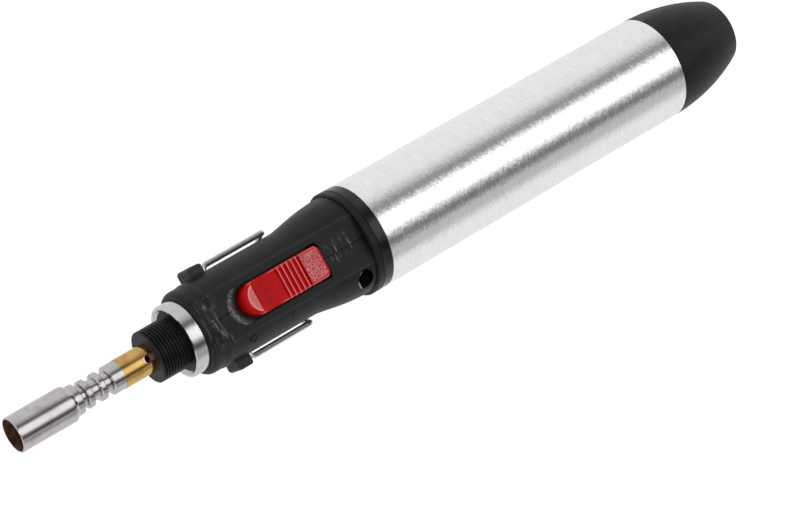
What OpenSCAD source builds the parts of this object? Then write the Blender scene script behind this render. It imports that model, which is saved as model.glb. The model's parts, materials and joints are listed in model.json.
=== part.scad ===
// Pen-type butane torch. It lies along X: burner mouth towards -X, tail towards +X,
// slider facing +Z, the barrel's lowest line at Z = 0 and the overall mid-length at X = 0.

/* [Overall] */
// Length from the burner mouth to the tail
overall_len = 202; // [190:1:220]
// Outside diameter of the aluminium barrel
barrel_d = 25; // [24.5:0.1:26]

/* [Burner nozzle] */
// Outside diameter of the wide mouth tube
nozzle_d = 8.3; // [7.8:0.1:9]
// Wall of the mouth tube
nozzle_wall = 0.45; // [0.3:0.05:0.8]
// Length of the wide mouth tube, up to its bevel
nozzle_tube_len = 13.7; // [11:0.1:14.5]
// Diameter of the cooling fins
fin_d = 6.4; // [6:0.1:7.4]
// Diameter at the bottom of the grooves between the fins
groove_d = 4.7; // [4.4:0.1:5.2]
// Distance from one fin to the next
fin_pitch = 3.3; // [3:0.1:3.5]

/* [Mixing tube] */
// Outside diameter of the brass mixing tube
tube_d = 6.7; // [6.4:0.1:7]
// Bore of the mixing tube
tube_bore_d = 3.2; // [2.4:0.1:3.6]
// Diameter of the air hole across the tube
air_hole_d = 1.9; // [1.2:0.1:2.2]

/* [Union thread] */
// Crest diameter of the thread that carries accessories
thread_d = 12; // [11.6:0.1:12.4]
// Pitch of the thread
thread_pitch = 0.75; // [0.6:0.05:1]
// Depth of the thread
thread_depth = 0.42; // [0.3:0.02:0.5]

/* [Retaining ring] */
// Outside diameter of the silver ring
ring_d = 16.9; // [16.4:0.1:17.3]
// Length of the silver ring
ring_len = 3.2; // [2.6:0.1:3.6]

/* [Housing] */
// Diameter of the straight grip behind the neck
grip_d = 20; // [19.6:0.1:20.4]
// Diameter of the flared rear end, ahead of the flange
flare_d = 23.5; // [22.8:0.1:24]
// Half width of the flattened land that the slider runs in
land_half_w = 5.8; // [5.6:0.1:6]
// Radius of the straight inner cavity
cavity_r = 8.4; // [8.2:0.1:8.6]

/* [Slider] */
// Width of the slider button
slider_w = 7.5; // [7:0.1:7.8]
// Length of the slider button
slider_len = 21.7; // [21:0.1:22]
// Number of grip ridges across the button
ridge_count = 5; // [3:1:5]

/* [Stand] */
// Diameter of the folding stand's wire
wire_d = 1.3; // [1:0.1:1.4]
// Length of each leg from its pivot to the cross bar
leg_len = 16.8; // [15:0.1:17]

/* [Tail] */
// Length of the tail cap behind the barrel
cap_len = 21.6; // [20:0.1:24]
// Radius of the curve that tapers the cap
cap_curve_r = 50; // [45:1:60]

/* [Valves] */
// Bore that the refill can's nozzle enters
inlet_d = 3.2; // [3:0.1:3.4]
// Depth of the refill inlet above its stem
inlet_depth = 3; // [2.5:0.1:3]

/* [Hidden] */

round_fn = 96;
fine_fn = 48;
over = 1;                                  // how far a cutter runs past the face that it cuts

// Stations along X. The head keeps its lengths, and the barrel takes up overall_len.
mouth_x = -overall_len / 2;
tail_x = overall_len / 2;
tube_end_x = mouth_x + nozzle_tube_len;    // where the mouth tube's bevel starts
collar_rear_x = mouth_x + 26.7;            // nozzle collar meets the brass tube
collar_front_x = collar_rear_x - 3.2;
boss_face_x = mouth_x + 34.3;
ring_front_x = mouth_x + 41.3;
neck_x = ring_front_x + ring_len;
spigot_front_x = ring_front_x + 0.7;       // housing spigot, seen as a recessed black disc
slot_front_x = mouth_x + 52.1;
slot_rear_x = mouth_x + 77.3;
lug_front_x = mouth_x + 51;
lug_rear_x = mouth_x + 54.75;
pivot_x = mouth_x + 55.7;                  // folding stand's pivot
flare_x = mouth_x + 73.2;
flange_x = mouth_x + 87.5;
band_x = mouth_x + 89.2;                   // glossy band of the gas tank
barrel_x = mouth_x + 91.7;
cap_x = tail_x - cap_len;

axis_z = barrel_d / 2;
grip_r = grip_d / 2;
flare_r = flare_d / 2;
barrel_r = barrel_d / 2;
flare_len = flange_x - flare_x;

// Gas tank and barrel
sleeve_wall = 0.85;
tank_r = barrel_r - sleeve_wall - 0.05;
tank_bore_r = tank_r - 1;

// Heights above the torch's axis
land_h = sqrt(grip_r * grip_r - land_half_w * land_half_w);
roof_h = 6.8;                              // underside of the wall that the slot pierces
carriage_top_h = 6.6;
carriage_h = 1.3;
button_h = 10.2;
tip_h = 4.5;                               // where the slider pushes the lever
lever_pivot_h = -5.5;
tip_r = 0.8;
lever_x = mouth_x + 73;                    // lever, upright at rest
pad_r = 0.6;

flame_disc_x = mouth_x + 11.8;
flame_disc_len = 1.2;
flame_disc_r = nozzle_d / 2 - nozzle_wall - 0.5;

slot_half_w = slider_w / 2 + 0.45;
slot_nose_r = 4.9;
screw_x = mouth_x + 84.5;
screw_h = 7.85;
pivot_h = -1;                              // stand pivot below the torch's axis
leg_y = grip_r + wire_d / 2 + 0.5;

shank_r = 5.8;                             // threaded boss inside the housing
boss_flange_r = 8;
valve_face_x = band_x - 8.2;               // front of the tank's neck
seat_x = valve_face_x + 9;                 // seat that closes the main valve
stem_r = 0.9;
hose_rear_x = lever_x - 4;
seal_len = 1.4;
stem_flange_x = seat_x - seal_len - 1.2;

fill_front_x = tail_x - 11;                // inner end of the fill valve
fill_face_x = tail_x - 0.8;
fill_seat_x = fill_face_x - 6;

// A solid of revolution about the torch's axis, from [x, radius] points
module turned(outline, fn = round_fn) {
    translate([0, 0, axis_z]) rotate([0, 90, 0])
        rotate_extrude($fn = fn) polygon([for (p = outline) [p[1], p[0]]]);
}

// A cylinder on the torch's axis from x0 to x1
module rod(x0, x1, r, fn = round_fn) {
    translate([x0, 0, axis_z]) rotate([0, 90, 0]) cylinder(h = x1 - x0, r = r, $fn = fn);
}

// A cylinder along Y at station x and height h above the torch's axis
module cross_rod(x, h, y0, y1, r, fn = fine_fn) {
    translate([x, y1, axis_z + h]) rotate([90, 0, 0]) cylinder(h = y1 - y0, r = r, $fn = fn);
}

// A box between two stations, two sides and two heights above the torch's axis
module block(x0, x1, y0, y1, h0, h1) {
    translate([x0, y0, axis_z + h0]) cube([x1 - x0, y1 - y0, h1 - h0]);
}

// A side outline of [x, height] points, extruded from y0 to y1
module side_profile(outline, y0, y1) {
    translate([0, y1, axis_z]) rotate([90, 0, 0]) linear_extrude(y1 - y0) polygon(outline);
}

// An O-ring on the torch's axis
module o_ring(x, ring_r, cord_r) {
    translate([x, 0, axis_z]) rotate([0, 90, 0])
        rotate_extrude($fn = round_fn) translate([ring_r, 0]) circle(r = cord_r, $fn = 24);
}

// A coil spring on the torch's axis: wire swept along a helix, closed at both ends
module coil_spring(x0, x1, coil_r, wire_r, turns) {
    sides = 6;
    per_turn = 14;
    steps = turns * per_turn;
    points = [for (i = [0 : steps]) for (k = [0 : sides - 1])
        let (a = 360 * i / per_turn, b = 360 * k / sides, r = coil_r + wire_r * cos(b))
        [x0 + wire_r + (x1 - x0 - 2 * wire_r) * i / steps + wire_r * sin(b),
         r * cos(a), axis_z + r * sin(a)]];
    skin = [for (i = [0 : steps - 1]) for (k = [0 : sides - 1])
        [i * sides + k, (i + 1) * sides + k,
         (i + 1) * sides + (k + 1) % sides, i * sides + (k + 1) % sides]];
    start = [for (k = [0 : sides - 1]) k];
    end = [for (k = [0 : sides - 1]) steps * sides + sides - 1 - k];
    polyhedron(points = points, faces = concat(skin, [start], [end]), convexity = 8);
}

// One bevelled cooling fin, as outline points from its front to its rear
function fin(x, len, r) = [[x, groove_d / 2], [x + 0.2, r - 0.3], [x + 0.45, r],
    [x + len - 0.45, r], [x + len - 0.2, r - 0.3], [x + len, groove_d / 2]];

module burner_nozzle() {
    r = nozzle_d / 2;
    fin_len = 1.9;
    fin_b_x = tube_end_x + 3.45;
    neck_end_x = tube_end_x + 2.4;
    chamber_x = flame_disc_x + flame_disc_len;
    passage_r = 1.6;
    socket_x = collar_rear_x - 2.6;
    socket_r = 2.6;
    color("silver") turned(concat(
        [[mouth_x + 0.15, r - 0.05], [tube_end_x - 0.5, r], [tube_end_x, r - 0.1],
         [tube_end_x + 0.6, 3.6], [tube_end_x + 0.8, 3.5], [neck_end_x - 0.2, 3.45],
         [neck_end_x, 3.2], [neck_end_x, groove_d / 2]],
        fin(fin_b_x, fin_len, fin_d / 2),
        fin(fin_b_x + fin_pitch, fin_len, fin_d / 2),
        [[collar_front_x, groove_d / 2], [collar_front_x + 0.2, fin_d / 2 - 0.3],
         [collar_front_x + 0.45, fin_d / 2 + 0.08], [collar_rear_x, fin_d / 2 + 0.08],
         [collar_rear_x, socket_r], [socket_x, socket_r], [socket_x, passage_r],
         [chamber_x, passage_r], [chamber_x, flame_disc_r], [flame_disc_x, flame_disc_r],
         [flame_disc_x, r - nozzle_wall], [mouth_x, r - nozzle_wall],
         [mouth_x, r - 0.2]]));
}

module flame_disc() {
    hole_count = 6;
    rear_x = flame_disc_x + flame_disc_len;
    color("dimgray") difference() {
        rod(flame_disc_x, rear_x, flame_disc_r);
        rod(flame_disc_x - over, rear_x + over, 0.6, fine_fn);
        for (i = [0 : hole_count - 1])
            translate([0, 2.2 * cos(360 * i / hole_count), 2.2 * sin(360 * i / hole_count)])
                rod(flame_disc_x - over, rear_x + over, 0.5, fine_fn);
    }
}

module mixing_tube() {
    spigot_r = 2.6;
    rear_x = boss_face_x + 6.2;
    color("goldenrod") difference() {
        union() {
            rod(collar_rear_x - 2.6, collar_rear_x, spigot_r);
            rod(collar_rear_x, rear_x, tube_d / 2);
        }
        rod(collar_rear_x - 2.6 - over, rear_x + over, tube_bore_d / 2);
        translate([boss_face_x - 1.2, 0, axis_z])
            cylinder(h = tube_d + 2, r = air_hole_d / 2, center = true, $fn = fine_fn);
    }
}

module gas_jet() {
    front_x = boss_face_x + 6.2;
    rear_x = boss_face_x + 11.7;
    color("gold") difference() {
        union() {
            rod(front_x, rear_x, tube_d / 2);
            rod(rear_x, rear_x + 6, stem_r + 0.05, fine_fn);
        }
        rod(front_x + 0.8, rear_x + 6 + over, 0.5, fine_fn);
        rod(front_x - over, front_x + 2, 0.15, 24);
    }
}

module threaded_boss() {
    r = thread_d / 2;
    root_r = r - thread_depth;
    lead = 0.1;
    crests = floor((ring_front_x - boss_face_x - lead) / thread_pitch);
    flange_front_x = neck_x + 1;
    rear_x = boss_face_x + 14.7;
    bore_end_x = boss_face_x + 11.7;
    color([0.12, 0.12, 0.13]) turned(concat(
        [[boss_face_x, tube_d / 2], [boss_face_x, root_r + 0.1]],
        [for (i = [0 : crests - 1]) for (p = [[0.1, r], [0.4, r], [0.68, root_r],
            [0.82, root_r]]) [boss_face_x + lead + (i + p[0]) * thread_pitch, p[1]]],
        [[spigot_front_x, root_r], [spigot_front_x, shank_r], [flange_front_x, shank_r],
         [flange_front_x, boss_flange_r], [flange_front_x + 2, boss_flange_r],
         [flange_front_x + 2, shank_r], [rear_x, shank_r], [rear_x, 2],
         [bore_end_x, 2], [bore_end_x, tube_d / 2]]));
}

module retaining_ring() {
    r = ring_d / 2;
    inner_r = 7.1;
    color("silver") turned([[ring_front_x, r - 0.5], [ring_front_x + 0.12, r - 0.15],
        [ring_front_x + 0.35, r], [neck_x - 0.15, r], [neck_x, r - 0.15], [neck_x, inner_r],
        [ring_front_x + 0.75, inner_r], [ring_front_x, inner_r + 0.6]]);
}

// Radius of the flared rear of the housing, at t = 0 (grip) to 1 (flange)
function flare_at(t) = grip_r + (flare_r - grip_r) * (1 - cos(180 * pow(t, 0.7))) / 2;

// Height of the flattened land where the body around it has radius r
function land_at(r) = sqrt(r * r - land_half_w * land_half_w);

// Outside of the housing, before the land, lugs and holes, sunk by inset
module housing_outside(inset = 0) {
    flare_steps = 16;
    outline = concat(
        [[spigot_front_x, 7.1], [neck_x, 7.1], [neck_x, grip_r - 1.2],
         [neck_x + 0.2, grip_r - 0.65], [neck_x + 0.7, grip_r - 0.3],
         [neck_x + 1.3, grip_r - 0.15], [neck_x + 3.2, grip_r - 0.15], [neck_x + 4, grip_r]],
        [for (i = [0 : flare_steps]) [flare_x + flare_len * i / flare_steps,
            flare_at(i / flare_steps)]],
        [[flange_x, barrel_r - 0.3], [flange_x + 0.3, barrel_r], [band_x - 0.25, barrel_r],
         [band_x, barrel_r - 0.25]]);
    turned(concat([[spigot_front_x, 0]], [for (p = outline) [p[0], p[1] - inset]],
        [[band_x, 0]]));
}

// What the land, with its terraced front and its rise along the flare, takes off the top
module land_cut() {
    steps = 16;
    top = barrel_r + over;
    side_profile(concat(
        [[neck_x + 3.1, top], [neck_x + 3.1, grip_r - 0.6], [neck_x + 4.5, grip_r - 0.6],
         [neck_x + 4.5, grip_r - 1.15], [neck_x + 5.8, grip_r - 1.15],
         [neck_x + 5.8, land_h]],
        [for (i = [0 : steps]) [flare_x + flare_len * i / steps, land_at(flare_at(i / steps))]],
        [[flange_x, top]]), -grip_r, grip_r);
}

// Block beside the grip that stops the folding stand
module lug(side) {
    y0 = grip_r - 1;
    y1 = grip_r + 2.2;
    mirror([0, side > 0 ? 0 : 1, 0]) translate([0, 0, axis_z - 4.2]) linear_extrude(5.6)
        polygon([[lug_front_x, y0], [lug_front_x, y1 - 0.5], [lug_front_x + 0.5, y1],
            [lug_rear_x - 0.4, y1], [lug_rear_x, y1 - 0.4], [lug_rear_x, y0]]);
}

// Hollow inside both housing halves
module housing_cavity() {
    front_x = neck_x + 3.6;
    waist_x = mouth_x + 76;
    rear_r = 9.6;
    rail_h = 5.1;
    difference() {
        union() {
            intersection() {
                rod(front_x, waist_x, cavity_r);
                block(front_x, waist_x, -cavity_r, cavity_r, -cavity_r, roof_h);
            }
            block(front_x + 0.5, slot_rear_x + 0.3, -5.4, 5.4, 0, roof_h);
            intersection() {
                rod(waist_x, flange_x, rear_r);
                block(waist_x, flange_x, -rear_r, rear_r, -rear_r, 9);
            }
        }
        for (side = [-1, 1]) {
            block(front_x, waist_x, side > 0 ? 4.5 : -7.5, side > 0 ? 7.5 : -4.5,
                rail_h - 1.2, rail_h);
            cross_rod(lever_x, lever_pivot_h, side > 0 ? 3.4 : -7, side > 0 ? 7 : -3.4, 2);
        }
        cross_rod(screw_x, screw_h, -barrel_r, barrel_r, 2.4);
    }
}

// Slot that the slider runs in, with a sloped half-round wall at its front
module slot_cut() {
    slope = 0.9;
    corner_x = slot_front_x + slot_nose_r - sqrt(slot_nose_r * slot_nose_r
        - slot_half_w * slot_half_w);
    inner_r = slot_nose_r - slope;
    block(corner_x + slope, slot_rear_x, -slot_half_w, slot_half_w, roof_h - over, barrel_r);
    intersection() {
        translate([slot_front_x + slot_nose_r, 0, axis_z + roof_h]) union() {
            cylinder(h = land_h - roof_h, r1 = inner_r, r2 = slot_nose_r, $fn = round_fn);
            translate([0, 0, land_h - roof_h]) cylinder(h = over, r = slot_nose_r, $fn = round_fn);
            translate([0, 0, -over]) cylinder(h = over, r = inner_r, $fn = round_fn);
        }
        block(slot_front_x - over, corner_x + slope + 0.01, -slot_half_w, slot_half_w,
            roof_h - 2 * over, barrel_r);
    }
}

// Thin rebate where the two halves meet, as deep as seam_depth all round
module seam_cut() {
    seam_depth = 0.2;
    seam_half_w = 0.07;
    difference() {
        block(spigot_front_x + 1, band_x - 0.4, -seam_half_w, seam_half_w, -2 * barrel_r,
            2 * barrel_r);
        difference() {
            housing_outside(seam_depth);
            translate([0, 0, -seam_depth]) land_cut();
        }
    }
}

// Both housing halves in one, with every seat and hole
module housing() {
    boss_flange_x = neck_x + 1;
    recess_r = 1.95;
    head_y = -4.5;
    difference() {
        union() {
            difference() {
                housing_outside();
                land_cut();
            }
            lug(1);
            lug(-1);
        }
        housing_cavity();
        seam_cut();
        slot_cut();
        rod(spigot_front_x - over, neck_x + 4, shank_r);
        rod(boss_flange_x, boss_flange_x + 2, boss_flange_r);
        rod(flange_x - over, band_x + over, 5.5);
        for (side = [-1, 1])
            cross_rod(pivot_x, pivot_h, side > 0 ? 7 : -12, side > 0 ? 12 : -7,
                wire_d / 2 + 0.07);
        cross_rod(lever_x, lever_pivot_h, -5.6, 5.6, 0.8);
        cross_rod(screw_x, screw_h, head_y, 6, 1);
        cross_rod(screw_x, screw_h, -barrel_r, head_y, recess_r);
    }
}

module housing_left() {
    color([0.13, 0.13, 0.14]) intersection() {
        housing();
        block(mouth_x, tail_x, 0, 2 * barrel_r, -2 * barrel_r, 2 * barrel_r);
    }
}

module housing_right() {
    color([0.14, 0.14, 0.15]) intersection() {
        housing();
        block(mouth_x, tail_x, -2 * barrel_r, 0, -2 * barrel_r, 2 * barrel_r);
    }
}

module housing_screw() {
    head_y = -4.5;
    head_len = 1.3;
    color("gray") difference() {
        union() {
            cross_rod(screw_x, screw_h, head_y, 5.8, 1);
            cross_rod(screw_x, screw_h, head_y - head_len, head_y, 1.75);
        }
        block(screw_x - 1.2, screw_x + 1.2, head_y - head_len - over, head_y - head_len + 0.6,
            screw_h - 0.2, screw_h + 0.2);
        block(screw_x - 0.2, screw_x + 0.2, head_y - head_len - over, head_y - head_len + 0.6,
            screw_h - 1.2, screw_h + 1.2);
    }
}

// Plan of the button: a half-round nose and square rear corners
module button_plan() {
    r = slider_w / 2;
    rear_x = slot_rear_x - 0.3;
    nose_x = rear_x - slider_len + r;
    corner_r = 1;
    translate([nose_x, 0]) circle(r = r, $fn = round_fn);
    translate([nose_x, -r]) square([rear_x - corner_r - nose_x, slider_w]);
    translate([rear_x - corner_r - over, -r + corner_r])
        square([corner_r + over, slider_w - 2 * corner_r]);
    for (side = [-1, 1])
        translate([rear_x - corner_r, side * (r - corner_r)]) circle(r = corner_r, $fn = fine_fn);
}

// Thumb scoop of the button, as side outline points
function scoop(x0, x1, steps = 14) = [for (i = [0 : steps])
    [x0 + (x1 - x0) * i / steps, button_h - 0.2 - 1.1 * pow(sin(180 * i / steps), 0.8)]];

// Grip ridges of the button, as side outline points
function ridges(x0, pitch) = [for (i = [0 : ridge_count - 1])
    for (p = [[0, -0.75], [0.3, -0.05], [0.55, -0.05], [0.75, -0.75]])
        [x0 + (i + p[0]) * pitch, button_h + p[1]]];

// The plan cut to a side outline: sloping nose, thumb scoop, grip ridges and rear pad
module slider_button() {
    rear_x = slot_rear_x - 0.3;
    nose_x = rear_x - slider_len;
    scoop_x = nose_x + 3.4;
    ridge_x = nose_x + 10.2;
    pad_x = rear_x - 5.3;
    ridge_pitch = (pad_x - ridge_x) / ridge_count;
    color("red") intersection() {
        translate([0, 0, axis_z + carriage_top_h]) linear_extrude(8) button_plan();
        side_profile(concat(
            [[nose_x, carriage_top_h], [nose_x, 7.9], [nose_x + 0.3, 8.8],
             [nose_x + 0.8, 9.5], [nose_x + 1.6, button_h - 0.2]],
            scoop(scoop_x, ridge_x - 0.4),
            ridges(ridge_x, ridge_pitch),
            [[pad_x, button_h - 0.1], [rear_x - 0.7, button_h - 0.1], [rear_x, 9.5],
             [rear_x, carriage_top_h]]), -slider_w / 2, slider_w / 2);
    }
}

module slider_carriage() {
    front_x = slot_front_x - 0.4;
    rear_x = slot_rear_x - 1.3;
    half_w = 5.1;
    tab_gap = tip_r + 0.2;
    tab_len = 1.2;
    color("dimgray") union() {
        block(front_x, rear_x, -half_w, half_w, carriage_top_h - carriage_h, carriage_top_h);
        for (x = [lever_x - tab_gap - tab_len, lever_x + tab_gap])
            block(x, x + tab_len, -1.6, 1.6, 4, carriage_top_h - carriage_h);
    }
}

module release_lever() {
    hub_r = 1.7;
    arm_y = 2.35;
    side_y = 3.1;
    half_t = 0.7;
    bridge_h = 3;
    color("white") difference() {
        union() {
            cross_rod(lever_x, lever_pivot_h, -side_y, side_y, hub_r);
            for (side = [-1, 1]) {
                block(lever_x - half_t, lever_x + half_t, side > 0 ? arm_y : -side_y,
                    side > 0 ? side_y : -arm_y, lever_pivot_h, bridge_h);
                cross_rod(lever_x, 0, side > 0 ? 1.15 : -arm_y, side > 0 ? arm_y : -1.15, pad_r);
            }
            block(lever_x - half_t, lever_x + half_t, -side_y, side_y, bridge_h, 3.8);
            block(lever_x - 0.6, lever_x + 0.6, -1.3, 1.3, bridge_h, tip_h);
            cross_rod(lever_x, tip_h, -1.3, 1.3, tip_r);
        }
        cross_rod(lever_x, lever_pivot_h, -side_y - over, side_y + over, 0.86);
    }
}

module lever_pin() {
    color("lightgray") cross_rod(lever_x, lever_pivot_h, -5.5, 5.5, 0.8);
}

module gas_tube() {
    color([0.85, 0.85, 0.8]) difference() {
        rod(boss_face_x + 15.2, hose_rear_x, 1.5);
        rod(boss_face_x + 15.2 - over, hose_rear_x + over, stem_r + 0.05, fine_fn);
    }
}

module valve_stem() {
    collar_r = 2.1;
    collar_len = 0.8;
    gap = 0.9;
    flange_len_x = 1.2;
    color("khaki") difference() {
        union() {
            rod(hose_rear_x - 2.5, stem_flange_x + flange_len_x, stem_r, fine_fn);
            rod(lever_x - gap - collar_len, lever_x - gap, collar_r, fine_fn);
            rod(lever_x + gap, lever_x + gap + collar_len, collar_r, fine_fn);
            rod(stem_flange_x, stem_flange_x + flange_len_x, 1.8, fine_fn);
        }
        rod(hose_rear_x - 2.5 - over, stem_flange_x - 0.5, 0.4, 24);
        translate([stem_flange_x - 1, 0, axis_z])
            cylinder(h = 4, r = 0.3, center = true, $fn = 24);
    }
}

module valve_seal() {
    color([0.1, 0.1, 0.1]) rod(seat_x - seal_len, seat_x, 1.4, fine_fn);
}

module valve_spring() {
    color("lightsteelblue") coil_spring(valve_face_x - 1.4, stem_flange_x, 1.4, 0.22, 6);
}

module valve_body() {
    thread_r = 3;
    hex_r = 4.5;
    hex_len = 2.5;
    chamber_r = 2;
    rear_x = seat_x + 3;
    groove_x = valve_face_x + 3;
    color("goldenrod") difference() {
        union() {
            translate([valve_face_x - hex_len, 0, axis_z]) rotate([0, 90, 0])
                cylinder(h = hex_len, r = hex_r, $fn = 6);
            rod(valve_face_x, rear_x, thread_r);
        }
        rod(valve_face_x - hex_len - over, seat_x, stem_r + 0.06, fine_fn);
        rod(valve_face_x - 1.4, seat_x, chamber_r, fine_fn);
        rod(seat_x - over, rear_x + over, 0.6, fine_fn);
        rod(rear_x - 1.5, rear_x + over, 1.5, fine_fn);
        difference() {
            rod(groove_x, groove_x + 0.9, thread_r + over);
            rod(groove_x - over, groove_x + 0.9 + over, 2.38);
        }
    }
}

module valve_o_ring() {
    color([0.1, 0.1, 0.1]) o_ring(valve_face_x + 3.45, 2.69, 0.29);
}

module filter_disc() {
    color("peru") rod(seat_x + 1.5, seat_x + 3, 1.5, fine_fn);
}

module wick() {
    color("wheat") rod(seat_x + 3, barrel_x + 64, 2.5, fine_fn);
}

module gas_tank() {
    neck_r = 5;
    head_r = 6.8;
    head_x = flange_x - 1.6;
    wall_x = barrel_x + 3.3;
    bore_r = 3;
    color([0.08, 0.08, 0.09]) turned([[valve_face_x, bore_r], [valve_face_x, neck_r],
        [head_x, neck_r], [head_x, head_r], [flange_x - 0.1, head_r], [flange_x - 0.1, 5.4],
        [band_x, 5.4], [band_x, barrel_r - 0.2], [band_x + 0.2, barrel_r],
        [barrel_x - 0.1, barrel_r], [barrel_x, barrel_r - 0.1], [barrel_x, tank_r],
        [cap_x - 0.1, tank_r], [cap_x - 0.1, tank_bore_r], [wall_x, tank_bore_r],
        [wall_x, bore_r]]);
}

module barrel_sleeve() {
    r = barrel_r;
    inner_r = r - sleeve_wall;
    edge = 0.12;
    color("gainsboro") turned([[barrel_x, inner_r], [barrel_x, r - edge], [barrel_x + edge, r],
        [cap_x - edge, r], [cap_x, r - edge], [cap_x, inner_r]]);
}

// Radius of the tail cap at distance t behind the barrel
function cap_at(t) = barrel_r - (cap_curve_r - sqrt(cap_curve_r * cap_curve_r - t * t));

module tail_cap() {
    steps = 16;
    edge_r = 1.6;
    edge_x = tail_x - edge_r;
    edge_tilt = asin((cap_len - 1) / cap_curve_r);
    edge_c = cap_at(cap_len - 1) - edge_r * cos(edge_tilt);
    edge_steps = 6;
    hollow_x = fill_front_x + 1;
    hollow_r = 7;
    valve_r = 3.2;
    spigot_x = cap_x - 12.4;
    spigot_r = tank_bore_r - 0.03;
    groove_x = spigot_x + 3;
    groove_len = 1.5;
    color([0.1, 0.1, 0.1]) turned(concat(
        [[spigot_x, spigot_r], [groove_x, spigot_r], [groove_x, spigot_r - 1.3],
         [groove_x + groove_len, spigot_r - 1.3], [groove_x + groove_len, spigot_r],
         [cap_x, spigot_r]],
        [for (i = [0 : steps]) let (t = (cap_len - 1.3) * i / steps) [cap_x + t, cap_at(t)]],
        [for (i = [1 : edge_steps]) let (a = edge_tilt + (90 - edge_tilt) * i / edge_steps)
            [edge_x + edge_r * sin(a), edge_c + edge_r * cos(a)]],
        [[tail_x, 4.1], [tail_x - 0.6, 3.5], [fill_face_x, 3.5], [fill_face_x, valve_r],
         [hollow_x, valve_r], [hollow_x, hollow_r], [cap_x + 8, hollow_r + 1.5],
         [spigot_x, hollow_r + 1.5]]));
}

module tank_o_ring() {
    color([0.1, 0.1, 0.1]) o_ring(cap_x - 12.4 + 3.75, tank_bore_r - 0.66, 0.63);
}

module fill_valve_body() {
    r = 3.2;
    chamber_x = fill_front_x + 0.6;
    color("goldenrod") difference() {
        rod(fill_front_x, fill_face_x, r);
        rod(fill_face_x - inlet_depth - 0.8, fill_face_x + over, inlet_d / 2, fine_fn);
        rod(fill_seat_x - over, fill_face_x, 0.95, fine_fn);
        rod(chamber_x, fill_seat_x, 2.3, fine_fn);
        rod(fill_front_x - over, fill_front_x + over, 0.95, fine_fn);
        for (side = [-1, 1])
            block(fill_face_x - 0.7, fill_face_x + over, side > 0 ? 2.3 : -r - over,
                side > 0 ? r + over : -2.3, -0.5, 0.5);
    }
}

module fill_valve_stem() {
    color("khaki") union() {
        rod(fill_front_x + 0.2, fill_face_x - inlet_depth - 1, 0.88, fine_fn);
        rod(fill_seat_x - 1.4, fill_seat_x - 0.8, 1.9, fine_fn);
    }
}

module fill_valve_seal() {
    color([0.1, 0.1, 0.1]) difference() {
        rod(fill_seat_x - 0.8, fill_seat_x, 2, fine_fn);
        rod(fill_seat_x - 0.8 - over, fill_seat_x + over, 0.88, fine_fn);
    }
}

module fill_valve_spring() {
    color("lightsteelblue") coil_spring(fill_front_x + 0.6, fill_seat_x - 1.4, 1.5, 0.18, 3);
}

// Scaled to length 1
function unit(v) = v / norm(v);

// Half of the bent stand wire as [point, side vector] pairs, from its pivot to its cross bar
function bail_half(bow_y, rear_x, bend_r, steps = 4) =
    let (up = [0, 0, 1], back = [1, 0, 0], drop = asin(-pivot_h / leg_y),
         down = [0, -sin(drop), -cos(drop)])
    concat(
        [[[pivot_x, 7.9, pivot_h], up], [[pivot_x, bow_y - bend_r, pivot_h], up]],
        [for (i = [1 : steps]) let (a = 90 * i / steps)
            [[pivot_x + bend_r * (1 - cos(a)), bow_y - bend_r * (1 - sin(a)), pivot_h], up]],
        [for (i = [0 : steps]) let (a = 90 * i / steps)
            [[rear_x - bend_r * (1 - sin(a)), bow_y, pivot_h] + down * bend_r * (1 - cos(a)),
             up * cos(a) + back * sin(a)]]);

// Round wire swept through [point, side vector] pairs, heights above the torch's axis
module wire(path, r) {
    sides = 12;
    last = len(path) - 1;
    points = [for (i = [0 : last]) for (k = [0 : sides - 1])
        let (t = unit(path[min(i + 1, last)][0] - path[max(i - 1, 0)][0]),
             u = unit(path[i][1] - t * (path[i][1] * t)), v = cross(t, u),
             a = 360 * k / sides)
        path[i][0] + [0, 0, axis_z] + r * (u * cos(a) + v * sin(a))];
    skin = [for (i = [0 : last - 1]) for (k = [0 : sides - 1])
        [(i + 1) * sides + k, i * sides + k,
         i * sides + (k + 1) % sides, (i + 1) * sides + (k + 1) % sides]];
    start = [for (k = [0 : sides - 1]) sides - 1 - k];
    end = [for (k = [0 : sides - 1]) last * sides + k];
    polyhedron(points = points, faces = concat(skin, [start], [end]), convexity = 6);
}

module stand_bail() {
    r = wire_d / 2;
    bend_r = 1.2;
    rear_x = pivot_x + leg_len;
    bow_y = sqrt(leg_y * leg_y - pivot_h * pivot_h);
    half = bail_half(bow_y, rear_x, bend_r);
    bow = [for (a = [18 : 9 : 162])
        [[rear_x, leg_y * cos(a), -leg_y * sin(a)], [1, 0, 0]]];
    other_half = [for (i = [len(half) - 1 : -1 : 0])
        [[half[i][0][0], -half[i][0][1], half[i][0][2]], half[i][1]]];
    color("silver") wire(concat(half, bow, other_half), r);
}

burner_nozzle();
flame_disc();
mixing_tube();
gas_jet();
threaded_boss();
retaining_ring();
housing_left();
housing_right();
housing_screw();
slider_button();
slider_carriage();
release_lever();
lever_pin();
gas_tube();
valve_stem();
valve_seal();
valve_spring();
valve_body();
valve_o_ring();
filter_disc();
wick();
gas_tank();
barrel_sleeve();
tail_cap();
tank_o_ring();
fill_valve_body();
fill_valve_stem();
fill_valve_seal();
fill_valve_spring();
stand_bail();
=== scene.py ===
"""Looks of the pen-type butane torch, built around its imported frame.

x runs along the torch from its middle to its tail, y across it and z up from the floor. Places,
sizes and limits are in mm, and MM turns them into Blender's metres.
"""
import json
import math

import bmesh
import bpy
from mathutils import Matrix, Vector


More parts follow.
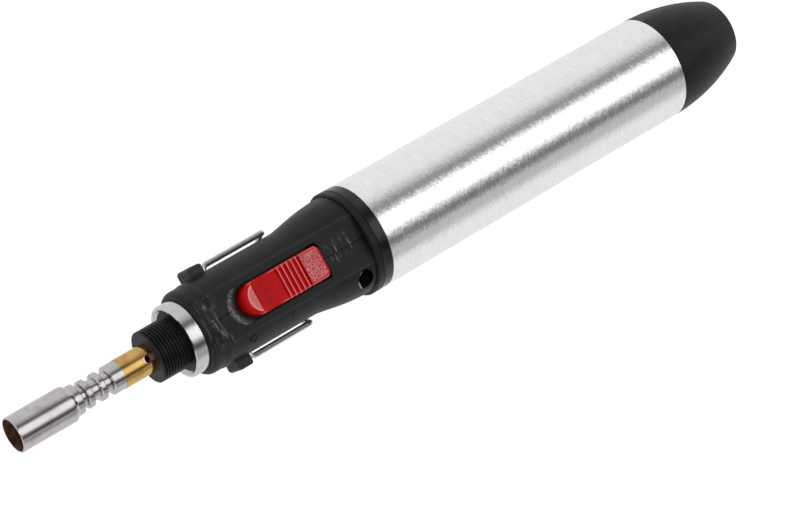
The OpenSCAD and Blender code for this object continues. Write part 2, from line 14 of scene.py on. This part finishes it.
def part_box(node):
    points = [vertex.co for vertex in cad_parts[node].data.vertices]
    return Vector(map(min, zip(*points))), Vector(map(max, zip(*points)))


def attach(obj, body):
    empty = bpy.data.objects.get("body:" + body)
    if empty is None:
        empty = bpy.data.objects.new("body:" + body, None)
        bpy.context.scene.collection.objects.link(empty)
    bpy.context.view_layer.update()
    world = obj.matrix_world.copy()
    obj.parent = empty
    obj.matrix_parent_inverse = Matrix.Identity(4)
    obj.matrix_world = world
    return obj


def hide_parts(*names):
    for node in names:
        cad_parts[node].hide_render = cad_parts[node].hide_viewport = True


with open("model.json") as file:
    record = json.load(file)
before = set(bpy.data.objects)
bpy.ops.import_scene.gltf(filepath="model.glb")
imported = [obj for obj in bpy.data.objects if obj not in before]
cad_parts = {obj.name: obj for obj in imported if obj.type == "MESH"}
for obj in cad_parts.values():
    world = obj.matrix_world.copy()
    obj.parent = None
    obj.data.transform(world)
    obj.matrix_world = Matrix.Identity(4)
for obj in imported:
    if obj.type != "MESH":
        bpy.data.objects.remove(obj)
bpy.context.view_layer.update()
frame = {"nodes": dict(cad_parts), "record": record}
nodes = frame["nodes"]
scene = bpy.context.scene
MM = 0.001
AXIS_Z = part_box("barrel_sleeve")[1].y / MM  # the barrel lies on the floor, so this is its radius

# Slider button
BUTTON_LOW, BUTTON_HIGH = (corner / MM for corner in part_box("slider_button"))
NOSE_X = BUTTON_LOW.x + BUTTON_HIGH.y       # centre of the half-round nose
REAR_X = BUTTON_HIGH.x
RIDGE_START, RIDGE_END = REAR_X - 11.5, REAR_X - 5.3
RIDGES = 5
LAND_X, LAND_END = -42.3, REAR_X - 18.3     # front land: its straight side, and where it runs out
RIM_X, RIM_R = -40.72, 3.48                 # circle that bounds the land in front
PAD_START, PAD_END, PAD_HALF, PAD_Z = (-29.3, -28.9), (-24.8, -24.4), 3.2, (22.0, 22.4)
SIDE_Y, SIDE_Z = (3.42, 3.62), (21.6, 22.2) # painted highlight along both upper side edges
SHADE_Z = (19.5, 22.4)                      # painted shade: the flanks darken downwards

# Housing
GRIP_R = 10.0
TOP_Z = (19, 21)                            # the hood's painted sheen, and scuffs behind the button, lie above this
HOOD_X, HOOD_Y = (-57.2, -50.9), (-6, 5)    # hood ahead of the slot, with painted sheen on its ridges
AHEAD_X, AHEAD_Z = (-54.6, -50.2), (19.5, 21.5)      # painted glints on the ridges ahead of the slot
BEHIND_X, BEHIND_Y = (-22.4, -15.2), (-1.6, 2.6)     # scuffs behind the button
TRAY_X, TRAY_Y, TRAY_Z = (-49.6, -42), (-4.4, 4.4), (18.6, 20.35)   # carriage seen in the slot, with painted light on it
TRAY_GAP = (4.2, 5.6)                       # painted shade next to the nose: the tray's painted light starts this far from the nose's centre
EDGE_X, EDGE_Y, EDGE_Z = (-50, -14), (5.7, 6.0), (19, 20)   # painted highlight along the edges of the flat at the slot
SEAM_HALF, SEAM_Z = 0.05, (13, 14)          # seam between the shells, on the upper side
LUG_Y, LUG_Z = (10.4, 10.8), (13.6, 13.85)  # upper faces of the stand's lugs, where a grainy sheen is painted
SCREW_X, SCREW_Z = -16.5, 20.35             # axis of the housing screw
SCREW_R, SCREW_Y = (1.98, 2.01), (-4.6, -4.5)        # wall and bottom of its recess
GLINT_X = (-1.45, -0.9)                     # glint on the screw, from its axis

# Burner
AIR_X, AIR_R = -67.9, 0.95                  # air hole of the mixing tube
AIR_NEAR_X, AIR_NEAR_Z = (-71, -70.5), (13, 14)      # the hole's painted rim highlight and painted wall light lie behind and above these
BURNT_R, BURNT_X = (3.72, 3.8), (-88.6, -87.6)   # inside of the burner's mouth: burnt brown, made lighter as painted light


# ---------------------------------------------------------------- materials
class Paint:
    """A node material with a Principled shader, and short ways to add nodes to it."""

    def __init__(self, name, **sockets):
        self.mat = bpy.data.materials.new(name)
        self.mat.use_nodes = True
        self.tree = self.mat.node_tree
        self.bsdf = self.tree.nodes["Principled BSDF"]
        self.coords = self.add("ShaderNodeTexCoord").outputs["Object"]
        self.split = None
        for key, value in sockets.items():
            self.set(key.replace("_", " "), value)

    def add(self, kind, **props):
        """Adds a node with the given properties."""
        node = self.tree.nodes.new(kind)
        for key, value in props.items():
            setattr(node, key, value)
        return node

    def give(self, target, value):
        """Links value to the input target if it is a socket, and else sets it."""
        if isinstance(value, bpy.types.NodeSocket):
            self.tree.links.new(value, target)
        elif isinstance(value, tuple) and len(value) == 3:
            target.default_value = (*value, 1)
        else:
            target.default_value = value

    def set(self, socket, value):
        self.give(self.bsdf.inputs[socket], value)

    def math(self, op, *values):
        node = self.add("ShaderNodeMath", operation=op)
        for target, value in zip(node.inputs, values):
            self.give(target, value)
        return node.outputs[0]

    def times(self, *factors):
        """The product of two or more values."""
        product = factors[0]
        for factor in factors[1:]:
            product = self.math("MULTIPLY", product, factor)
        return product

    def scaled(self, value, factor, plus):
        """value times factor, plus plus."""
        return self.math("MULTIPLY_ADD", value, factor, plus)

    def place(self):
        """The point's x, y and z in mm."""
        if self.split is None:
            in_mm = self.add("ShaderNodeVectorMath", operation="SCALE")
            self.give(in_mm.inputs[0], self.coords)
            in_mm.inputs["Scale"].default_value = 1 / MM
            self.split = self.add("ShaderNodeSeparateXYZ")
            self.give(self.split.inputs[0], in_mm.outputs[0])
        return self.split.outputs

    def distance(self, a, b, axis_a=0.0, axis_b=0.0):
        """Distance from the axis at which the coordinates a and b are axis_a and axis_b."""
        da, db = self.math("SUBTRACT", a, axis_a), self.math("SUBTRACT", b, axis_b)
        return self.math("SQRT", self.math("ADD", self.times(da, da), self.times(db, db)))

    def noise(self, scale=1.0, detail=3, rough=0.6, seed=0, squeeze=(1, 1, 1)):
        """Noise per metre: scale sets how fine it is, and squeeze how fine along each axis."""
        mapping = self.add("ShaderNodeMapping")
        mapping.inputs["Scale"].default_value = squeeze
        mapping.inputs["Location"].default_value = (seed, seed * 0.7, seed * 1.3)
        self.give(mapping.inputs["Vector"], self.coords)
        node = self.add("ShaderNodeTexNoise")
        node.inputs["Scale"].default_value = scale
        node.inputs["Detail"].default_value = detail
        node.inputs["Roughness"].default_value = rough
        self.give(node.inputs["Vector"], mapping.outputs[0])
        return node.outputs["Fac"]

    def ramp(self, value, low, high, at_low, at_high):
        node = self.add("ShaderNodeMapRange", interpolation_type="SMOOTHSTEP")
        for key, given in (("Value", value), ("From Min", low), ("From Max", high),
                           ("To Min", at_low), ("To Max", at_high)):
            self.give(node.inputs[key], given)
        return node.outputs["Result"]

    def rise(self, value, low, high):
        """0 where value is below low, 1 where it is above high."""
        return self.ramp(value, low, high, 0.0, 1.0)

    def fall(self, value, low, high):
        """1 where value is below low, 0 where it is above high."""
        return self.ramp(value, low, high, 1.0, 0.0)

    def band(self, value, low, high, soft):
        """1 where value lies between low and high, with soft edges."""
        return self.times(self.rise(value, low - soft, low + soft),
                          self.fall(value, high - soft, high + soft))

    def blend(self, factor, first, second):
        """The colour first where factor is 0, and second where it is 1."""
        node = self.add("ShaderNodeMix", data_type="RGBA")
        self.give(node.inputs["Factor"], factor)
        targets = [i for i in node.inputs if i.type == "RGBA"]
        self.give(targets[0], first)
        self.give(targets[1], second)
        return [o for o in node.outputs if o.type == "RGBA"][0]

    def bump(self, height, strength, depth=0.01):
        """Lays a relief of depth mm over those given before it."""
        normal = self.bsdf.inputs["Normal"]
        node = self.add("ShaderNodeBump")
        node.inputs["Strength"].default_value = strength
        node.inputs["Distance"].default_value = depth * MM
        self.give(node.inputs["Height"], height)
        if normal.is_linked:
            self.give(node.inputs["Normal"], normal.links[0].from_socket)
        self.give(normal, node.outputs[0])

    def around(self):
        """Tangent round the torch, for metal brushed round its axis."""
        node = self.add("ShaderNodeTangent", direction_type="RADIAL", axis="X")
        self.set("Tangent", node.outputs[0])
        self.set("Anisotropic Rotation", 0.25)


def aluminium():
    p = Paint("brushed_aluminium", Metallic=1.0, Anisotropic=0.72)
    p.around()
    lines = p.noise(squeeze=(5200, 260, 260))
    flecks = p.noise(detail=2, rough=0.5, seed=3, squeeze=(1900, 700, 700))
    cloud = p.noise(60, detail=2, rough=0.5, seed=7)
    p.set("Roughness", p.math("ADD", p.times(flecks, 0.16), p.scaled(cloud, 0.05, 0.16)))
    p.set("Base Color", p.blend(p.rise(lines, 0.3, 0.75), (0.78, 0.78, 0.79), (0.9, 0.9, 0.905)))
    p.bump(flecks, 0.6, depth=0.12)
    p.bump(lines, 0.3)
    return p.mat


def stainless():
    p = Paint("polished_stainless")
    x, y, z = p.place()
    lathe = p.noise(detail=2, rough=0.5, squeeze=(9000, 120, 120))
    speck = p.noise(2600, seed=2)
    stain = p.noise(320, detail=4, seed=5)
    p.set("Roughness", p.math("ADD", p.times(stain, 0.08), p.scaled(speck, 0.06, 0.02)))
    inside = p.times(p.fall(p.distance(y, z, 0.0, AXIS_Z), *BURNT_R), p.fall(x, *BURNT_X))
    steel = p.blend(p.rise(stain, 0.42, 0.7), (0.52, 0.5, 0.495), (0.42, 0.4, 0.395))
    # burnt brown inside the mouth, made brighter as painted light falling into it
    burnt_tint_and_light = p.blend(p.rise(p.noise(500, seed=9), 0.35, 0.65), (0.06, 0.028, 0.016),
                    (0.16, 0.085, 0.055))
    p.set("Base Color", p.blend(inside, steel, burnt_tint_and_light))
    p.set("Metallic", p.math("SUBTRACT", 1.0, inside))
    p.bump(lathe, 0.12)
    p.bump(speck, 0.15)
    return p.mat


def ring_steel():
    p = Paint("turned_steel_ring", Metallic=1.0, Anisotropic=0.3)
    p.around()
    lathe = p.noise(squeeze=(7000, 90, 90))
    haze = p.noise(900, seed=4)
    p.set("Roughness", p.scaled(haze, 0.1, 0.08))
    p.set("Base Color", p.blend(p.rise(haze, 0.35, 0.7), (0.58, 0.58, 0.59), (0.5, 0.5, 0.5)))
    p.bump(lathe, 0.2)
    return p.mat


def wire_steel():
    p = Paint("drawn_steel_wire", Metallic=1.0)
    haze = p.noise(1400, seed=4)
    p.set("Roughness", p.scaled(haze, 0.2, 0.1))
    p.set("Base Color", p.blend(p.rise(haze, 0.4, 0.75), (0.55, 0.55, 0.56), (0.38, 0.38, 0.39)))
    p.bump(p.noise(detail=2, rough=0.5, squeeze=(400, 6000, 6000)), 0.12)
    return p.mat


def brass():
    """Turned brass, with a painted copper highlight on the rim and painted red-brown light on the
    wall of the mixing tube's air hole.
    """
    p = Paint("turned_brass")
    x, y, z = p.place()
    lathe = p.noise(squeeze=(8000, 160, 160))
    tarnish = p.noise(380, detail=4, rough=0.65, seed=6)
    p.set("Roughness", p.scaled(tarnish, 0.1, 0.09))
    metal = p.blend(p.rise(tarnish, 0.38, 0.75), (0.6, 0.38, 0.13), (0.42, 0.24, 0.07))
    hole = p.distance(x, y, AIR_X)
    near = p.times(p.rise(z, *AIR_NEAR_Z), p.rise(x, *AIR_NEAR_X))
    # painted highlight: a copper-bright ring round the air hole's rim
    rim = p.times(p.band(hole, AIR_R + 0.05, AIR_R + 0.25, 0.04), near)
    # painted light: a lit red-brown wall inside the air hole, where there would be shade
    painted_wall_light = p.times(p.fall(hole, AIR_R + 0.02, AIR_R + 0.06), near)
    p.set("Base Color", p.blend(painted_wall_light, p.blend(rim, metal, (0.95, 0.5, 0.34)), (0.32, 0.1, 0.05)))
    p.set("Metallic", p.math("SUBTRACT", 1.0, painted_wall_light))
    p.bump(lathe, 0.25)
    p.bump(p.noise(3200, detail=2, rough=0.5, seed=1), 0.12)
    return p.mat


def black_metal():
    p = Paint("black_oxide", Specular_IOR_Level=0.16)
    haze = p.noise(1100, detail=4, seed=3)
    p.set("Roughness", p.scaled(haze, 0.3, 0.26))
    p.set("Base Color", p.blend(p.rise(haze, 0.45, 0.8), (0.008, 0.008, 0.009),
                                (0.022, 0.022, 0.022)))
    p.bump(p.noise(5200, detail=2, rough=0.5, seed=1), 0.25)
    return p.mat


def scratches_and_glints(p):
    """Pale streaks on the housing: painted glints on the ridges ahead of the slot, and scratches
    behind the button.
    """
    x, y, z = p.place()
    scratch = p.noise(detail=4, rough=0.7, seed=8, squeeze=(1500, 240, 1500))
    # painted glints on the ridge tops ahead of the slot
    ahead = p.times(p.band(x, *AHEAD_X, 0.7), p.rise(z, *AHEAD_Z))
    behind = p.times(p.band(x, *BEHIND_X, 1.4), p.band(y, *BEHIND_Y, 1.2), p.rise(z, *TOP_Z))
    return p.times(p.rise(scratch, 0.54, 0.66), p.math("ADD", ahead, behind))


def hood_ridge_sheen(p):
    x, y, z = p.place()
    # painted sheen: paler streaks across the hood stand for light on its ridges
    ridge_streaks = p.noise(seed=11, squeeze=(2400, 150, 500))
    where = p.times(p.band(x, *HOOD_X, 0.6), p.band(y, *HOOD_Y, 1.5), p.rise(z, *TOP_Z))
    return p.times(p.rise(ridge_streaks, 0.5, 0.6), where)


def slot_carriage_light(p):
    """Painted light on the part of the carriage that shows in the slot ahead of the button, fading
    to painted shade near its nose.
    """
    x, y, z = p.place()
    slot = p.times(p.band(x, *TRAY_X, 0.4), p.band(z, *TRAY_Z, 0.1), p.band(y, *TRAY_Y, 0.1))
    # painted shade: darker close to the button's nose
    return p.times(slot, p.rise(p.distance(x, y, NOSE_X), *TRAY_GAP))


def black_plastic():
    """Satin plastic of the housing and caps, with the housing's seam and scratches, and painted
    light and shade: sheen on the hood's ridges and the lugs, glints ahead of the slot and on the
    screw, highlights along the flat's edges, light on the carriage in the slot and shade in the
    screw's recess.
    """
    p = Paint("satin_black_plastic")
    x, y, z = p.place()
    aside = p.math("ABSOLUTE", y)
    grain = p.noise(4600, detail=2, rough=0.5, seed=1)
    haze = p.noise(260, seed=4)
    scuff_and_glint, tray_light = scratches_and_glints(p), slot_carriage_light(p)
    # painted glints: pale specks on the tray's painted light
    speck_glints = p.times(p.rise(p.noise(2300, detail=2, seed=6), 0.42, 0.66), tray_light)
    seam = p.times(p.band(y, -SEAM_HALF, SEAM_HALF, 0.03), p.rise(z, *SEAM_Z))
    # painted sheen on the lugs' upper faces, broken up by the grain
    lug_top_sheen = p.times(p.rise(aside, *LUG_Y), p.rise(z, *LUG_Z), p.rise(grain, 0.4, 0.65))
    # painted highlight along the flat's edges beside the slot
    edge = p.times(p.band(aside, *EDGE_Y, 0.4), p.rise(z, *EDGE_Z), p.band(x, *EDGE_X, 2))
    # painted shade: the screw's recess is darkened
    hole = p.times(p.fall(p.distance(x, z, SCREW_X, SCREW_Z), *SCREW_R), p.fall(y, *SCREW_Y))
    glint = p.times(hole, p.band(p.math("SUBTRACT", x, SCREW_X), *GLINT_X, 0.15))
    color = p.blend(p.rise(haze, 0.35, 0.75), (0.005, 0.005, 0.006), (0.011, 0.011, 0.013))
    for mask, over in (
            # painted sheen on the hood's ridges
            (p.times(hood_ridge_sheen(p), 0.7), (0.05, 0.048, 0.05)),
            (p.times(lug_top_sheen, 0.6), (0.07, 0.07, 0.072)),
            # painted glints ahead of the slot, and scratches behind the button
            (scuff_and_glint, (0.15, 0.15, 0.156)),
            # painted light on the carriage in the slot
            (p.times(tray_light, 0.8), (0.08, 0.078, 0.08)),
            (speck_glints, (0.36, 0.35, 0.35)),
            # painted highlight along the flat's edges
            (p.times(edge, 0.5), (0.05, 0.05, 0.054)),
            # painted shade in the screw's recess
            (hole, (0.002, 0.002, 0.002)),
            (glint, (0.5, 0.5, 0.5)),
            (seam, (0.001, 0.001, 0.001))):
        color = p.blend(mask, color, over)
    p.set("Base Color", color)
    p.set("Specular IOR Level", p.scaled(hole, -0.2, 0.22))
    p.set("Roughness", p.math("SUBTRACT", p.scaled(haze, 0.14, 0.42), p.times(scuff_and_glint, 0.16)))
    p.bump(grain, 0.25)
    p.bump(haze, 0.1, depth=0.1)
    p.bump(p.math("SUBTRACT", 1.0, seam), 0.8, depth=0.08)
    return p.mat


def black_gloss():
    p = Paint("gloss_black_plastic", Specular_IOR_Level=0.35)
    haze = p.noise(500, seed=4)
    p.set("Roughness", p.scaled(haze, 0.12, 0.08))
    p.set("Base Color", p.blend(p.rise(haze, 0.4, 0.8), (0.005, 0.005, 0.006),
                                (0.014, 0.014, 0.015)))
    p.bump(p.noise(2400, detail=2, rough=0.5, seed=1), 0.08)
    return p.mat


def red_plastic():
    """The button's plastic: grained on its land and pad, with painted highlights on its land,
    crests, rim and side edges, and painted shade low on its flanks.
    """
    p = Paint("red_plastic", Specular_IOR_Level=0.08)
    x, y, z = p.place()
    grain = p.noise(4400, detail=2, seed=1)
    haze = p.noise(420, seed=4)
    rim_r = p.distance(x, y, RIM_X)
    front = p.fall(x, LAND_X - 0.1, LAND_X + 0.1)
    land = p.times(p.fall(rim_r, RIM_R - 0.35, RIM_R - 0.15), front)
    # painted highlight round the land's rounded front
    rim = p.times(p.band(rim_r, RIM_R - 0.28, RIM_R + 0.08, 0.12), front)
    pad = p.times(p.rise(x, *PAD_START), p.rise(z, *PAD_Z), p.fall(x, *PAD_END),
                  p.band(y, -PAD_HALF, PAD_HALF, 0.2))
    pitch = (RIDGE_END - RIDGE_START) / RIDGES
    turns = p.math("DIVIDE", p.math("SUBTRACT", x, RIDGE_START), pitch)
    # painted highlight on the ridges' crests
    crest_highlight = p.times(p.band(p.math("FRACT", turns), 0.3, 0.44, 0.07),
                    p.band(turns, 0.05, RIDGES, 0.02))
    # painted highlight along the button's upper side edges
    side_highlight = p.times(p.band(p.math("ABSOLUTE", y), *SIDE_Y, 0.08), p.rise(z, *SIDE_Z), 0.5)
    # painted highlights on the rim, crests and side edges
    shine = p.math("MAXIMUM", p.math("MAXIMUM", rim, p.times(crest_highlight, 0.85)), side_highlight)
    # pale grain on the pad; on the land the pale grain is also painted highlight
    grain_and_land_sheen = p.math("MAXIMUM", pad, land)
    body = p.blend(p.rise(haze, 0.35, 0.75), (0.55, 0.004, 0.006), (0.43, 0.003, 0.005))
    # painted shade: the button's flanks darker towards their foot
    body = p.blend(p.rise(z, *SHADE_Z), (0.19, 0.002, 0.003), body)
    pale = p.blend(p.rise(grain, 0.38, 0.62), (0.3, 0.02, 0.03), (0.8, 0.3, 0.31))
    color = p.blend(p.times(grain_and_land_sheen, 0.85), body, pale)
    # painted highlight over the land ahead of the scoop
    color = p.blend(p.times(land, 0.22), color, (0.95, 0.3, 0.3))
    p.set("Base Color", p.blend(p.times(shine, 0.8), color, (0.95, 0.36, 0.36)))
    p.set("Roughness", p.math("ADD", p.scaled(haze, 0.1, 0.24), p.times(grain_and_land_sheen, 0.25)))
    p.bump(p.times(grain, grain_and_land_sheen), 0.7, depth=0.12)
    p.bump(p.noise(5200, detail=2, rough=0.5, seed=2), 0.1)
    return p.mat


def plain(name, low, high, rough, scale=900, strength=0.3):
    """A quiet finish for an inner piece: two shades, uneven roughness and a fine grain."""
    p = Paint(name)
    haze = p.noise(scale, detail=4, seed=2)
    p.set("Base Color", p.blend(p.rise(haze, 0.35, 0.7), low, high))
    p.set("Roughness", p.scaled(haze, 0.2, rough - 0.1))
    p.bump(p.noise(scale * 4, detail=2, rough=0.5, seed=5), strength, depth=0.02)
    return p.mat


FINISH = {
    "aluminium": aluminium(),
    "stainless": stainless(),
    "ring": ring_steel(),
    "steel_wire": wire_steel(),
    "brass": brass(),
    "black_metal": black_metal(),
    "black_plastic": black_plastic(),
    "black_gloss": black_gloss(),
    "red_plastic": red_plastic(),
    "white_plastic": plain("natural_acetal", (0.74, 0.73, 0.7), (0.82, 0.81, 0.78), 0.45),
    "rubber": plain("black_rubber", (0.016, 0.016, 0.016), (0.03, 0.03, 0.03), 0.75, 1500),
    "felt": plain("wick_felt", (0.62, 0.54, 0.4), (0.8, 0.72, 0.56), 0.9, 2200, strength=0.8),
}
slot_of = {s["node"]: s["material_slot"] for s in frame["record"]["subparts"]}
for name, obj in nodes.items():
    finish = FINISH["ring" if name == "retaining_ring" else slot_of[name]]
    obj.data.materials.clear()
    obj.data.materials.append(finish)


# ---------------------------------------------------------------- pieces
SHARP = math.radians(32)     # edges steeper than this stay sharp
WELD = 0.004 * MM            # closer points of the button are merged


def mesh_object(name, bm, material):
    mesh = bpy.data.meshes.new(name)
    bm.to_mesh(mesh)
    bm.free()
    mesh.materials.append(material)
    obj = bpy.data.objects.new(name, mesh)
    scene.collection.objects.link(obj)
    return obj


def mesh_piece(name, bm, slot, body):
    """Turns bm into a piece that rides on body with slot's finish, shaded smooth by angle."""
    bmesh.ops.recalc_face_normals(bm, faces=bm.faces)
    obj = mesh_object(name, bm, FINISH[slot])
    for face in obj.data.polygons:
        face.use_smooth = True
    obj.data.set_sharp_from_angle(angle=SHARP)
    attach(obj, body)
    return obj


def skin(bm, loops):
    """Closes the space between each loop of points and the next with faces."""
    for a, b in zip(loops, loops[1:]):
        for i in range(len(a)):
            k = (i + 1) % len(a)
            bm.faces.new((a[i], a[k], b[k], b[i]))


def smooth(t):
    """0 below 0 and 1 above 1, with a smooth step between."""
    t = min(1.0, max(0.0, t))
    return t * t * (3 - 2 * t)


def slider_button():
    """The button with a rounded nose, a crescent land, a thumb scoop, ridges and a grained pad."""
    nose, half, base, top = BUTTON_LOW.x, BUTTON_HIGH.y, BUTTON_LOW.z, BUTTON_HIGH.z
    corner = 1.4                                # radius of the rear corners
    corner_x, corner_y = REAR_X - corner, half - corner
    scoop_end = RIDGE_START - 0.2
    land_drop, scoop_drop, ridge_drop, groove_drop, pad_drop = 0.15, 1.05, 0.05, 0.6, 0.08
    edge_reach, edge_drop = 0.4, 0.4            # width and height of the rounded edge
    nose_reach, nose_drop = 0.5, 1.7            # what the nose adds to them

    def width(x):
        if x < NOSE_X:
            return math.sqrt(max(0.0, half * half - (x - NOSE_X) ** 2))
        if x > corner_x:
            return corner_y + math.sqrt(max(0.0, corner ** 2 - (x - corner_x) ** 2))
        return half

    def inset(x, y):
        """Distance from the button's outline."""
        if x < NOSE_X:
            return half - math.hypot(x - NOSE_X, y)
        if x > corner_x and abs(y) > corner_y:
            return corner - math.hypot(x - corner_x, abs(y) - corner_y)
        return min(half - abs(y), REAR_X - x)

    def crown(x):
        """How far the button's middle lies below its highest point."""
        if x < LAND_END:
            return land_drop
        if x < scoop_end:
            t = (x - LAND_END) / (scoop_end - LAND_END)
            return land_drop + scoop_drop * math.sin(math.pi * t ** 0.8) ** 0.75
        if x < RIDGE_END:
            turns = (x - RIDGE_START) / (RIDGE_END - RIDGE_START) * RIDGES
            phase = turns - math.floor(turns) if turns > 0 else 0.0
            return ridge_drop + groove_drop * smooth(abs(phase - 0.45) / 0.3 - 0.35)
        return pad_drop

    def height(x, y):
        d = max(0.0, inset(x, y))
        front = smooth((NOSE_X + 1.2 - x) / 3.2)
        reach = edge_reach + nose_reach * front
        if x < LAND_X:
            reach = d + max(0.0, math.hypot(x - RIM_X, y) - RIM_R)
        edge = 0.0
        if d < reach:
            arc = 1 - math.sqrt(max(0.0, 1 - (1 - d / reach) ** 2))
            edge = (edge_drop + nose_drop * front) * arc
        return top - max(crown(x), edge) - 0.15 * min(crown(x), edge)

    nose_steps, side_steps, corner_steps, across = 26, 230, 10, 44
    stations = [nose + half * (1 - math.cos(math.pi / 2 * i / nose_steps))
                for i in range(nose_steps + 1)]
    stations += [NOSE_X + (corner_x - NOSE_X) * i / side_steps for i in range(1, side_steps + 1)]
    stations += [corner_x + corner * math.sin(math.pi / 2 * i / corner_steps)
                 for i in range(1, corner_steps + 1)]
    bm = bmesh.new()
    rows = []
    for x in stations:
        w = max(width(x), 0.002)
        ys = [w * math.sin(math.pi / 2 * (2 * j / across - 1)) for j in range(across + 1)]
        rows.append([bm.verts.new((x * MM, y * MM, height(x, y) * MM)) for y in ys])
    for a, b in zip(rows, rows[1:]):
        for j in range(across):
            bm.faces.new((a[j], b[j], b[j + 1], a[j + 1]))
    rim = [row[0] for row in rows] + rows[-1][1:]
    rim += [row[-1] for row in reversed(rows[:-1])] + list(reversed(rows[0][1:-1]))
    foot = [bm.verts.new((v.co.x, v.co.y, base * MM)) for v in rim]
    skin(bm, [rim, foot])
    bm.faces.new(foot)
    bmesh.ops.remove_doubles(bm, verts=bm.verts, dist=WELD)
    piece = mesh_piece("slider_button_moulded", bm, "red_plastic", "slider")
    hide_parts("slider_button")


def raised_patches(name, loops):
    """A raised mark on the grip. Each pair in loops is its foot and its top, as (x, arc) points."""
    sunk, shoulder, thick = -0.05, 0.084, 0.14  # lift of the foot, its upper edge and the top
    bm = bmesh.new()

    def ring(loop, lift):
        r = GRIP_R + lift
        return [bm.verts.new((x * MM, r * math.sin(arc / GRIP_R) * MM,
                              (AXIS_Z + r * math.cos(arc / GRIP_R)) * MM)) for x, arc in loop]

    for foot, top in loops:
        levels = [ring(foot, sunk), ring(foot, shoulder), ring(top, thick)]
        skin(bm, levels)
        bm.faces.new(levels[-1])
        bm.faces.new(list(reversed(levels[0])))
    mesh_piece(name, bm, "black_plastic", "torch_body")


def marks():
    """Generic bar and ring of dots beside the slider, for shut and open."""
    arc = -GRIP_R * math.asin(0.74)             # 7.4 mm aside of the slot's middle
    bar_x, bar_half_x, bar_half_arc, shrink = -35.2, 0.2, 0.95, 0.08
    ring_x, ring_r, dots, dot_half = -46.0, 0.85, 14, 0.2
    corners = ((-1, -1), (1, -1), (1, 1), (-1, 1))

    def bar(less):
        return [(bar_x + s * (bar_half_x - less), arc + t * (bar_half_arc - less))
                for s, t in corners]

    def dot(angle, half):
        cos, sin = math.cos(angle), math.sin(angle)
        return [(ring_x + ring_r * cos + half * (s * cos - t * sin),
                 arc + ring_r * sin + half * (s * sin + t * cos)) for s, t in corners]

    raised_patches("mark_bar", [(bar(0.0), bar(shrink))])
    angles = [2 * math.pi * i / dots for i in range(dots)]
    raised_patches("mark_ring", [(dot(a, dot_half), dot(a, 0.6 * dot_half)) for a in angles])


slider_button()
marks()


# ---------------------------------------------------------------- stage, light and camera
FLOOR_HALF = 3.0             # metres
BACKDROP = (0.32, 0.32, 0.32)
SKY_STRENGTH = 3.0
# Sky: degrees round the torch's length from straight up, and the radiance there
SKY = ((-180, 0.9), (-92, 0.95), (-84, 0.85), (-77, 0.62), (-70, 0.5), (-62, 0.56),
       (-56, 0.62), (-50, 0.34), (-44, 0.14), (-37, 0.12), (-31, 0.3), (-25, 0.7),
       (-19, 1.2), (-12, 1.55), (12, 1.55), (17, 1.1), (22, 0.6), (28, 0.26), (34, 0.2),
       (41, 0.4), (48, 0.6), (56, 0.78), (66, 0.92), (180, 0.92))


def floor():
    """A pale floor. It shines less on the torch than it shows to the camera."""
    p = Paint("pale_floor", Roughness=0.9, Specular_IOR_Level=0.1)
    p.set("Base Color", p.blend(p.rise(p.noise(3, detail=2, rough=0.5, seed=1), 0.3, 0.7),
                                BACKDROP, (0.33, 0.33, 0.33)))
    p.set("Emission Color", (1, 1, 1))
    seen = p.add("ShaderNodeLightPath").outputs["Is Camera Ray"]
    p.set("Emission Strength", p.scaled(seen, 0.24, 0.66))
    bm = bmesh.new()
    bmesh.ops.create_grid(bm, x_segments=8, y_segments=8, size=FLOOR_HALF)
    mesh_object("floor", bm, p.mat)


def studio():
    """Long soft boxes over the torch, as a sky of bands round its length; plain to the camera."""
    world = bpy.data.worlds.new("studio")
    scene.world = world
    world.use_nodes = True
    tree = world.node_tree
    new, link = tree.nodes.new, tree.links.new
    background = tree.nodes["Background"]
    coords, split = new("ShaderNodeTexCoord"), new("ShaderNodeSeparateXYZ")
    link(coords.outputs["Generated"], split.inputs[0])
    angle = new("ShaderNodeMath")
    angle.operation = "ARCTAN2"
    link(split.outputs["Y"], angle.inputs[0])
    link(split.outputs["Z"], angle.inputs[1])
    turn = new("ShaderNodeMapRange")
    link(angle.outputs[0], turn.inputs["Value"])
    turn.inputs["From Min"].default_value = -math.pi
    turn.inputs["From Max"].default_value = math.pi
    ramp = new("ShaderNodeValToRGB")
    link(turn.outputs["Result"], ramp.inputs["Fac"])
    elements = ramp.color_ramp.elements
    while len(elements) < len(SKY):
        elements.new(0.5)
    for element, (degrees, radiance) in zip(elements, SKY):
        level = radiance / SKY_STRENGTH
        element.position = (degrees + 180) / 360
        element.color = (level, level, level, 1)
    path, mix = new("ShaderNodeLightPath"), new("ShaderNodeMix")
    mix.data_type = "RGBA"
    link(path.outputs["Is Camera Ray"], mix.inputs["Factor"])
    sky, backdrop = [i for i in mix.inputs if i.type == "RGBA"]
    link(ramp.outputs["Color"], sky)
    backdrop.default_value = (*BACKDROP, 1)
    link([o for o in mix.outputs if o.type == "RGBA"][0], background.inputs["Color"])
    background.inputs["Strength"].default_value = SKY_STRENGTH


def camera():
    """The photograph's camera, as solved from the barrel's edges and ends."""
    right = Vector((0.76336, -0.47380, 0.43907)).normalized()
    back = Vector((-0.46586, 0.06708, 0.88231)).normalized()
    place = Vector((-297.3, 34.2, 571.4)) * MM
    data = bpy.data.cameras.new("camera")
    data.sensor_fit = "HORIZONTAL"
    data.sensor_width = 36
    data.lens = 128.8
    data.clip_start, data.clip_end = 0.01, 20
    up = back.cross(right).normalized()
    right = up.cross(back)
    obj = bpy.data.objects.new("camera", data)
    scene.collection.objects.link(obj)
    turn = Matrix((right, up, back)).transposed().to_4x4()
    obj.matrix_world = Matrix.Translation(place) @ turn
    scene.camera = obj


floor()
studio()
camera()
scene.view_settings.view_transform = "Standard"
